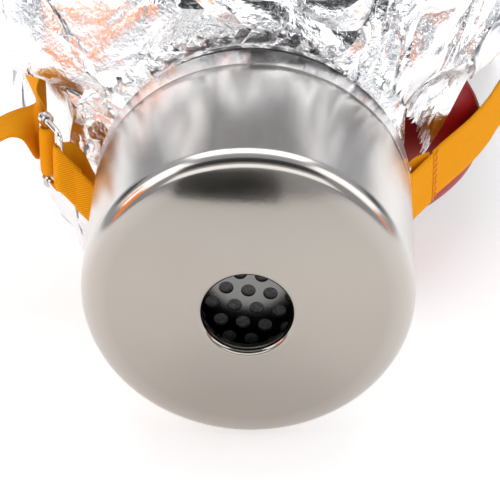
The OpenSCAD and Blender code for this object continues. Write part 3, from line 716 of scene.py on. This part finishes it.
resting = strip("neck_hem_resting_fold", hem_rows(np.arange(30, 251, 2.5), 0.6, 14, 0.7), 0.7, 3)
raised = strip("neck_hem_raised_fold", hem_rows(np.arange(-52, 26.1, 2.0), 0.6, 14, 0.9), 0.7, 4)
seam_heights = np.linspace(15, 295, 90)
right_heights = seam_heights[seam_heights > float(hem_z(0)) + 15]
seam_line = [(half_width(z), z) for z in right_heights]
seam_line += [(x * 43, CROWN_Z + 0.4) for x in np.linspace(0.96, -0.96, 9)]
seam_line += [(-half_width(z), z) for z in seam_heights[::-1]]
tape_rows = []
for y in (-6.0, -3.0, 0.0, 3.0, 6.0):
    lift = 1.5 if abs(y) < 4 else 0.9
    tape_rows.append([(x + math.copysign(lift, x) * (z < CROWN_Z - 6), y, z + lift * (z / CROWN_Z) ** 8)
                      for x, z in seam_line])
tape = strip("hood_side_seam_tape", tape_rows, 0.6, 6, 0.25)

# %% Window and its border
visor_angles = np.linspace(-133, -47, 41)


def visor_rows(off, count, low, high):
    rows = []
    for k in range(count):
        z = low + (high - low) * k / (count - 1)
        rows.append(hood_point(visor_angles, np.full(len(visor_angles), z), off))
    return rows


window = strip("visor_window_film", visor_rows(0.6, 21, VISOR_Z0 - 6, VISOR_Z0 + VISOR_H + 6), 0.4, 8, 0.12)
border = strip("visor_border_tape", visor_rows(1.5, 47, VISOR_Z0 - 10, VISOR_Z0 + VISOR_H + 10), 0.6, 9, 0.15,
               0)
mesh = border.data
middle = np.array([p.center for p in mesh.polygons]) / MM
beside_window = np.abs(middle[:, 2] - VISOR_Z0 - VISOR_H / 2)
hidden = (np.abs(middle[:, 0]) < VISOR_RX + 1) & (beside_window < VISOR_H / 2 - 1)
bm = bmesh.new()
bm.from_mesh(mesh)
bm.faces.ensure_lookup_table()
bmesh.ops.delete(bm, geom=[bm.faces[i] for i in np.nonzero(hidden)[0]], context="FACES")
bm.to_mesh(mesh)
bm.free()

# %% Keepers
STRAP_OFF = 4.8  # from the hood's form to the middle of the strap, mm
SIDE_Z = 76.0  # height of the strap at the hood's sides and back, mm

keepers = []
for theta in (36, 72, 108, 144):
    centre = hood_point(theta, SIDE_Z, STRAP_OFF)
    along = hood_point(theta + 3, SIDE_Z, STRAP_OFF) - hood_point(theta - 3, SIDE_Z, STRAP_OFF)
    along /= np.linalg.norm(along)
    out = np.cross(along, (0, 0, 1))
    rows = []
    for k in range(6):
        t = -5 + 10 * k / 5
        loop = []
        for step in range(33):
            a = 2 * math.pi * step / 32
            y, h = 2.0 * spow(math.cos(a), 0.5), 12.3 * spow(math.sin(a), 0.35)
            loop.append(centre + along * t + out * y + np.array((0, 0, h)))
        rows.append(loop)
    keepers.append(strip("keeper_loop_%d" % theta, rows, 0.6, theta, 0.12))
for piece, material, node, slot in (
        (resting, foil_trim, "neck_hem_resting", "foil_trim"),
        (raised, foil_trim, "neck_hem_raised", "foil_trim"),
        (tape, foil_trim, "hood_side_seam", "foil_trim"),
        (window, window_film, "visor_window", "visor_film"),
        (border, foil_trim, "visor_border", "foil_trim"),
        *((k, foil_trim, "strap_keepers", "foil_trim") for k in keepers)):
    piece.data.materials.append(material)
    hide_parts(node)
    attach(piece, "root")
    print(piece.name, len(piece.data.polygons), "faces")

# %% [markdown]
# ## Half mask
# The mask is moulded rubber: a round neck that stretches over the canister's outlet, a cup that flares to
# the face and a soft rolled lip. Its cross-sections come from the CAD profile and a subdivision surface
# rounds them.

# %% Mask
MASK_Y = -125.5
NECK_END, LIP_RX, LIP_RZ = 21.5, 66, 45  # half sizes of the mask's neck and lip, mm
LIP_SHIFT, LIP_LIFT = 14, -6.5  # the lip's middle against the canister's, mm
# (share of the way from neck to lip, how far inside the outer face, distance behind MASK_Y)
MASK_PROFILE = [(0, 0, 1.8), (0, 0, 9), (0.25, 0, 11.5), (0.6, 0, 19), (0.88, 0, 28), (1, 0, 36),
                (0.98, 0, 42), (0.9, 0, 45), (0.8, 0, 45.5), (0.8, 1, 43.5), (0.9, 1, 43), (0.98, 2, 41),
                (1, 2, 36), (0.88, 2, 29), (0.6, 2, 20.6), (0.25, 2, 13.6), (0, 2, 11), (0, 2, 1.8)]
mask_points, mask_faces, steps = [], [], 96
for u, inset, out in MASK_PROFILE:
    rx = NECK_END + (LIP_RX - NECK_END) * u - inset
    rz = NECK_END + (LIP_RZ - NECK_END) * u - inset
    for k in range(steps):
        a = 2 * math.pi * k / steps
        mask_points.append((LIP_SHIFT * u + rx * math.cos(a), MASK_Y + out,
                            CAN_R + LIP_LIFT * u + rz * math.sin(a)))
rings = len(MASK_PROFILE)
for i in range(rings):
    for k in range(steps):
        i2, k2 = (i + 1) % rings, (k + 1) % steps
        mask_faces.append((i * steps + k, i * steps + k2, i2 * steps + k2, i2 * steps + k))
mask = mesh_object("half_mask_rubber", mask_points, mask_faces)
mask.modifiers.new("round off", "SUBSURF").levels = 1
mask.data.materials.append(red_rubber)
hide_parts("half_mask")
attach(mask, "root")

# %% [markdown]
# ## Webbing
# The strap is one flat band, 20 mm wide. A ribbon is swept along a smooth path with its width turned to
# suit at each point, and its edges are rounded. The band carries its own coordinates, along and across,
# so that the slanting ribs of the weave follow every bend.


# %% Ribbon maker
def smooth_path(values, count):
    """A smooth curve through rows of values, evenly spread (Catmull-Rom by chord length)."""
    p = np.array(values, float)
    chord = np.concatenate([[0], np.cumsum(np.linalg.norm(np.diff(p[:, :3], axis=0), axis=1) ** 0.5)])
    tangent = np.gradient(p, chord, axis=0)
    dense = np.linspace(0, chord[-1], count * 4)
    i = np.clip(np.searchsorted(chord, dense, side="right") - 1, 0, len(p) - 2)
    h = (chord[i + 1] - chord[i])[:, None]
    t = ((dense - chord[i])[:, None]) / h
    curve = ((2 * t ** 3 - 3 * t ** 2 + 1) * p[i] + (t ** 3 - 2 * t ** 2 + t) * h * tangent[i]
             + (-2 * t ** 3 + 3 * t ** 2) * p[i + 1] + (t ** 3 - t ** 2) * h * tangent[i + 1])
    length = np.concatenate([[0], np.cumsum(np.linalg.norm(np.diff(curve[:, :3], axis=0), axis=1))])
    even = np.linspace(0, length[-1], count)
    return np.stack([np.interp(even, length, curve[:, k]) for k in range(curve.shape[1])], -1), length[-1]


def band(name, path, sides, width, thick=1.15, step=1.0, across=13, square=True):
    """A flat band through path with its width along sides; closed, with rounded edges, and band UVs."""
    data = np.concatenate([np.array(path, float), np.array(sides, float)], axis=1)
    rough_length = np.linalg.norm(np.diff(data[:, :3], axis=0), axis=1).sum()
    count = max(4, int(rough_length / step))
    data, length = smooth_path(data, count)
    p, side = data[:, :3], data[:, 3:6]
    travelled = np.concatenate([[0], np.cumsum(np.linalg.norm(np.diff(p, axis=0), axis=1))])
    tangent = np.gradient(p, axis=0)
    tangent /= np.linalg.norm(tangent, axis=1, keepdims=True)
    if square:
        side = side - tangent * (side * tangent).sum(1, keepdims=True)
    side /= np.linalg.norm(side, axis=1, keepdims=True)
    up = np.cross(tangent, side)
    up /= np.linalg.norm(up, axis=1, keepdims=True)
    s = np.linspace(-1, 1, across)
    edge = 1 - np.abs(s) ** 8 * 0.75
    ring = [(w * width / 2, e * thick / 2) for w, e in zip(s, edge)]
    ring += [(w * width / 2, -e * thick / 2) for w, e in zip(s[::-1], edge[::-1])]
    ring = np.array(ring)
    m, n = len(ring), len(p)
    points = p[:, None] + side[:, None] * ring[None, :, :1] + up[:, None] * ring[None, :, 1:]
    faces = [(i * m + j, i * m + (j + 1) % m, (i + 1) * m + (j + 1) % m, (i + 1) * m + j)
             for i in range(n - 1) for j in range(m)]
    faces += [tuple(range(m))[::-1], tuple((n - 1) * m + j for j in range(m))]
    obj = mesh_object(name, points.reshape(-1, 3), faces)
    layer = obj.data.uv_layers.new(name="band")
    where = np.array([(travelled[i] * MM, ring[j, 0] * MM) for i in range(n) for j in range(m)])
    corner_of = np.zeros(len(obj.data.loops), np.int32)
    obj.data.loops.foreach_get("vertex_index", corner_of)
    layer.data.foreach_set("uv", where[corner_of].astype(np.float32).ravel())
    obj.data.materials.append(webbing)
    print(name, round(length, 1), "mm long")
    return obj


BUCKLE = np.array((-72.0, -122.0, 58.2))
BUCKLE_TURN = math.radians(-61.8)


def buckle_point(x, y, z=0.0):
    """A point of the buckle: x along the strap, y towards the hood, z up."""
    c, s = math.cos(BUCKLE_TURN), math.sin(BUCKLE_TURN)
    return tuple(BUCKLE + np.array((x * c - y * s, x * s + y * c, z)))


def upright(count):
    return [(0, 0, 1)] * count


# %% Head strap
strap_path = [(60.2, -123.4, 48.7), (63.2, -118.6, 49), (67.9, -112, 49.6), (74.4, -101.6, 50),
              (80.4, -91.4, 51.6), (85.8, -80.6, 54)]
strap_path += [tuple(hood_point(t, z, off)) for t, z, off in (
    (-24, 57, 3.6), (-18, 61, 4.6), (-12, 66, 4.8), (0, 72, 4.8), (12, 75, 4.8))]
strap_path += [tuple(hood_point(t, SIDE_Z, STRAP_OFF)) for t in range(24, 145, 12)]
strap_path += [tuple(hood_point(t, SIDE_Z + (BUCKLE[2] - SIDE_Z) * (t - 144) / 48, STRAP_OFF))
               for t in (156, 168, 180)]
strap_path += [tuple(hood_point(t, z, off)) for t, z, off in (
    (188, 61.5, 4.2), (196, 60, 3.4), (206, 59, 3.0), (215, 58.5, 3.0), (221, 58.3, 3.0))]
strap_end = [(-75.4, -101, BUCKLE[2]), buckle_point(-9, 4.6), buckle_point(-5, 3.9), buckle_point(-2.2, 3.7)]
whole, _ = smooth_path(np.array(strap_path + strap_end), 700)
gap = np.linalg.norm(whole - np.array(strap_end[0]), axis=1)
meet = int(np.argmin(gap))
head_strap = band("head_strap_band", whole[:meet + 1], upright(meet + 1), 19.2, step=1.2)
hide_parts("head_strap")
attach(head_strap, "root")
end_points = whole[meet:]
strap_end_band = band("head_strap_end_band", end_points, upright(len(end_points)), 19.2, step=0.8)
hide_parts("head_strap")
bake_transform(strap_end_band)

# %% Turn round the sliding bar and the tail
turn_path = [buckle_point(x, -y) for x, y in (
    [(-1.6, -3.7), (1.4, -3.4), (3.2, -2.4)]
    + [(4.6 + 2.1 * math.cos(math.radians(a)), 2.1 * math.sin(math.radians(a))) for a in range(-80, 111, 14)]
    + [(2.75, 0.9), (2.25, -0.6), (1.0, -1.85), (-1.6, -2.05)])]
turn_band = band("strap_turn_band", turn_path, upright(len(turn_path)), 18, 1.1, 0.5)
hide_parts("strap_turn")
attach(turn_band, "sliding_bar")

tail_path = [buckle_point(-2.2, 2.05), buckle_point(-4.4, 1.6, 0.6), (-73.9, -117.2, 59.8),
             (-75.4, -117, 61.4), (-77.6, -117.2, 63.2), (-81.3, -118, 63.8), (-86.3, -120, 62.4),
             (-91, -121.5, 59.6), (-97, -123.5, 53.5), (-101, -125.5, 45)]
tail_sides = [(0, 0, 1), (0, 0.1, 0.99), (0, 0.25, 0.97), (0, 0.85, 0.53), (0, 1, 0.15)] + [(0, 1, 0)] * 5
tail = band("strap_tail_band", tail_path, tail_sides, 19, step=0.8, square=False)
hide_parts("strap_tail")
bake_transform(tail)


# %% Anchor loop and sewn loop
def round_bar(x, y, z0, z1, start, end, radius=1.95):
    steps = np.linspace(0, 1, 13)
    turn = np.radians(start + (end - start) * steps)
    return [(x + radius * math.cos(a), y + radius * math.sin(a), z0 + (z1 - z0) * u)
            for a, u in zip(turn, steps)]


far = buckle_point(16, 0)
anchor_path = [(-59.6, -137.9, 50.6), (-56.5, -138.1, 47.0)]
anchor_path += round_bar(-51.4, -135.9, 41, 41, -85, 70)
anchor_path += [(-54, -131.5, 44.5), (-57, -129.8, 50.5), (-60.6, -130.8, 55.5)]
anchor_path += round_bar(far[0], far[1], BUCKLE[2] - 0.6, BUCKLE[2] - 0.8, 60, 258)
anchor_path += [(-60.3, -137.5, 51.8), (-57.4, -137.0, 48.4)]
anchor_band = band("anchor_strap_band", anchor_path, upright(len(anchor_path)), 17, 1.1, 0.6, square=False)
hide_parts("anchor_strap")
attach(anchor_band, "root")

seam = np.array((59.4, -124.6, 48.6))
seam_gap = 0.75 * np.array((-math.sin(math.radians(58)), math.cos(math.radians(58)), 0))
loop_path = [tuple(seam - seam_gap), (55, -133.2, 48)]
loop_path += round_bar(51.4, -135.9, 48, 48, -22, -222)
loop_path += [(53.4, -130.2, 49.5), tuple(seam + seam_gap)]
loop_band = band("strap_loop_band", loop_path, upright(len(loop_path)), 19.4, 1.1, 0.6, square=False)
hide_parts("strap_loop")
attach(loop_band, "root")


# %% Stitches
def threads(name, segments, radius, material):
    """Short round threads, each a six-sided bead between two points."""
    points, faces = [], []
    for a, b in segments:
        a, b = np.array(a, float), np.array(b, float)
        along = (b - a) / np.linalg.norm(b - a)
        side = np.cross(along, (0, 0, 1) if abs(along[2]) < 0.9 else (1, 0, 0))
        side /= np.linalg.norm(side)
        other = np.cross(along, side)
        first = len(points)
        for t, r in ((0, 0.25), (0.15, 0.85), (0.5, 1.0), (0.85, 0.85), (1, 0.25)):
            for k in range(6):
                angle = math.pi * k / 3
                spoke = side * math.cos(angle) + other * math.sin(angle)
                points.append(a + (b - a) * t + radius * r * spoke)
        for i in range(4):
            faces += [(first + i * 6 + k, first + i * 6 + (k + 1) % 6, first + (i + 1) * 6 + (k + 1) % 6,
                       first + (i + 1) * 6 + k) for k in range(6)]
        faces += [tuple(first + k for k in range(6))[::-1], tuple(first + 24 + k for k in range(6))]
    obj = mesh_object(name, points, faces)
    obj.data.materials.append(material)
    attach(obj, "root")
    return obj


strap_dir = np.array((0.53, 0.85, 0.0))
strap_out = np.array((0.85, -0.53, 0.0))
sewn = [seam + strap_out * 1.45 + strap_dir * 0.2 + np.array((0, 0, z)) for z in np.arange(-9, 9.1, 1.6)]
zigzag = [seam + strap_out * 0.75 + strap_dir * (2.2 + 1.8 * (k % 2)) + np.array((0, 0, -9 + 1.2 * k))
          for k in range(16)]
threads("strap_loop_stitches", [*zip(sewn[:-1], sewn[1:]), *zip(zigzag[:-1], zigzag[1:])], 0.28,
        stitch_thread)
hem_line = [hood_point(t, float(hem_z(t)) + 11.5, 2.9) for t in np.arange(-51, 25, 1.4)]
hem_pairs = [(a, a + 0.6 * (b - a)) for a, b in zip(hem_line[:-1], hem_line[1:])]
hem_stitches = threads("neck_hem_stitches", hem_pairs, 0.25, dark_thread)
